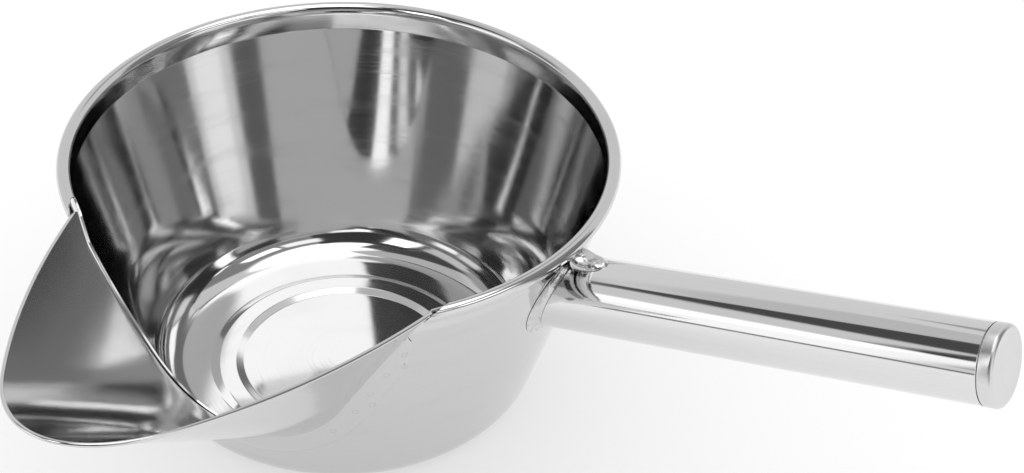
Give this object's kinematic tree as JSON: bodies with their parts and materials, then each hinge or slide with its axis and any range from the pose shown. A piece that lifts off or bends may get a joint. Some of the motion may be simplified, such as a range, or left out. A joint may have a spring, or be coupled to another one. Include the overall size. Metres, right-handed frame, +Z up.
{
  "type": "candle melting pot",
  "caption": "Open stainless melting pot with a rolled rim, a wide folded pouring spout and a straight, slightly raised tube handle",
  "frame": {"origin": "middle of the bowl's underside, on the plane that the pot stands on", "axes": "+Z up along the bowl's axis, +X towards the handle; the spout points 80.3 degrees clockwise from +X seen from above, nearly along -Y"},
  "size_m": [0.3345, 0.2775, 0.1203],
  "materials": {
    "bowl_steel": "polished stainless with fine brushing round the axis",
    "spout_steel": "satin polished stainless sheet",
    "tube_steel": "bright polished stainless tube",
    "cap_steel": "satin stainless pressing with a bright shoulder",
    "weld_steel": "as-laid weld metal, smooth and slightly uneven"
  },
  "bodies": {
    "root": {"bowl": "bowl_steel", "spout": "spout_steel", "spot_weld_left_1": "weld_steel", "spot_weld_left_2": "weld_steel", "spot_weld_left_3": "weld_steel", "spot_weld_left_4": "weld_steel", "spot_weld_left_5": "weld_steel", "edge_spot_weld_left_1": "weld_steel", "edge_spot_weld_left_2": "weld_steel", "spot_weld_right_1": "weld_steel", "spot_weld_right_2": "weld_steel", "spot_weld_right_3": "weld_steel", "spot_weld_right_4": "weld_steel", "spot_weld_right_5": "weld_steel", "edge_spot_weld_right_1": "weld_steel", "edge_spot_weld_right_2": "weld_steel", "handle_tube": "tube_steel", "handle_end_cap": "cap_steel", "handle_weld": "weld_steel", "rim_tack_weld": "weld_steel"}
  },
  "joints": []
}
